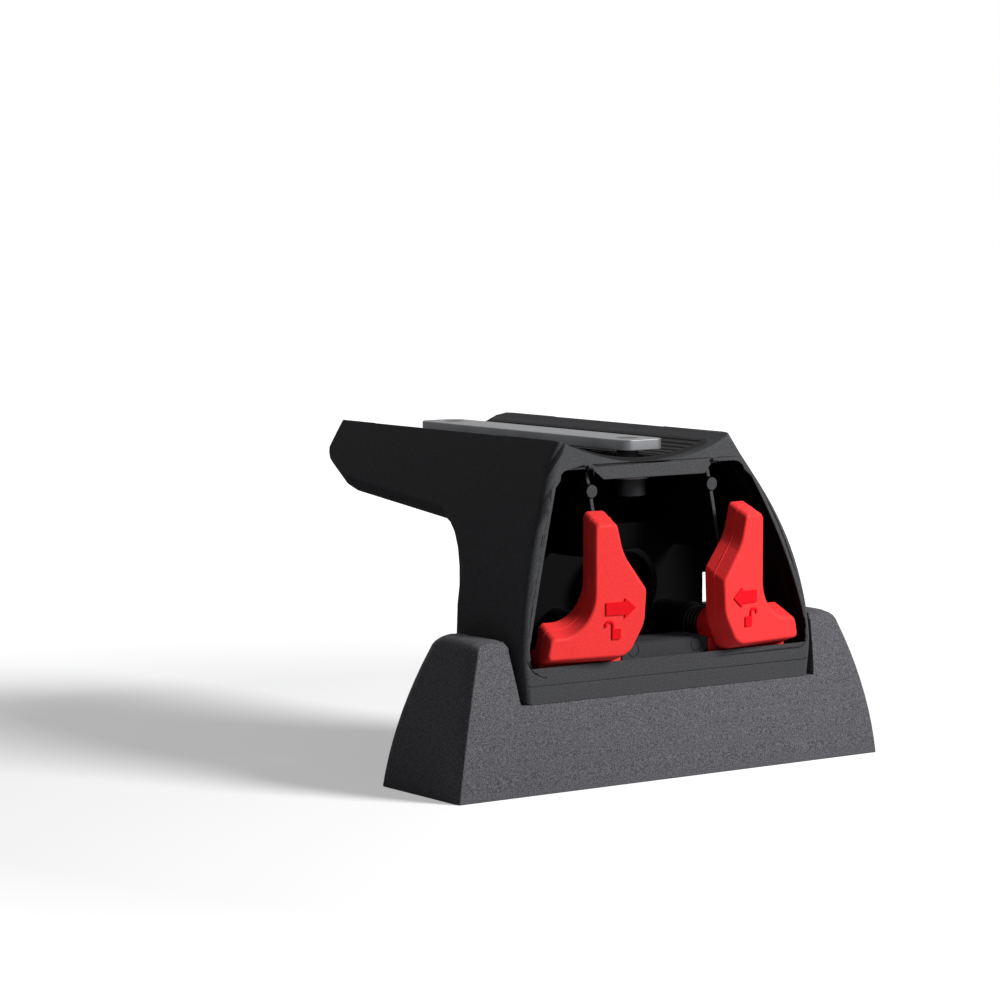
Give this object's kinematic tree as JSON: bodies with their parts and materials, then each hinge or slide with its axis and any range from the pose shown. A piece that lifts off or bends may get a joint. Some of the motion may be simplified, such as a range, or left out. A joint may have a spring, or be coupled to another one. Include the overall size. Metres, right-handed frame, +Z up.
{
  "type": "roof bar foot",
  "caption": "Quick-release foot for a crossbar: black arm with a trough for the bar, flared grey roof pad, and red levers in a front window that unhook it.",
  "frame": {"origin": "middle of the underside of the roof pad, on the roof surface", "axes": "+Z up from the roof; the window with the levers faces -Y; the crossbar runs along Y and the arm reaches out along +Y; X runs across the bar, along the pad"},
  "size_m": [0.1454, 0.1264, 0.0922],
  "materials": {
    "black_nylon": "satin black, lightly grained, with a finer grain on the rim",
    "grey_nylon": "dark grey, coarse moulded grain",
    "black_rubber": "matt moulded rubber",
    "zinc_steel": "zinc plated, dull",
    "steel_bolt": "plated steel, turned",
    "pin_steel": "ground steel",
    "striker_pin_steel": "dark coating over steel",
    "coated_striker": "dark grey powder coat, fine texture",
    "red_nylon": "bright red, fine moulded grain",
    "spring_wire": "oil-blackened spring wire",
    "black_clip_steel": "phosphated spring steel"
  },
  "bodies": {
    "foot": {"leg_body": "black_nylon", "saddle_strip": "black_rubber", "clamp_plate": "zinc_steel", "clamp_screw_front": "steel_bolt", "clamp_screw_rear": "steel_bolt", "clamp_washer_front": "zinc_steel", "clamp_washer_rear": "zinc_steel", "base_pad": "grey_nylon", "roof_gasket": "black_rubber", "roof_plate": "zinc_steel", "striker": "coated_striker", "striker_pin_left": "striker_pin_steel", "striker_pin_right": "striker_pin_steel", "striker_screw_left": "steel_bolt", "striker_screw_right": "steel_bolt", "left_return_spring": "spring_wire", "right_return_spring": "spring_wire"},
    "left_lever": {"left_lever": "red_nylon", "left_pivot_pin": "pin_steel", "left_pin_washer": "zinc_steel", "left_pin_clip": "black_clip_steel"},
    "right_lever": {"right_lever": "red_nylon", "right_pivot_pin": "pin_steel", "right_pin_washer": "zinc_steel", "right_pin_clip": "black_clip_steel"}
  },
  "joints": [
    {"name": "left_lever_hinge", "type": "hinge", "parent": "foot", "child": "left_lever", "pos_m": [-0.0193, 0.00755, 0.0395], "axis": [0.1357, 0.9907, 0], "range_deg": [0, 24], "stiffness_Nm_per_rad": 0.3, "springref_deg": -40.11, "deforming": ["left_return_spring"]},
    {"name": "right_lever_hinge", "type": "hinge", "parent": "foot", "child": "right_lever", "pos_m": [0.0193, 0.00755, 0.0395], "axis": [0.1357, -0.9907, 0], "range_deg": [0, 24], "stiffness_Nm_per_rad": 0.3, "springref_deg": -40.11, "deforming": ["right_return_spring"]}
  ]
}
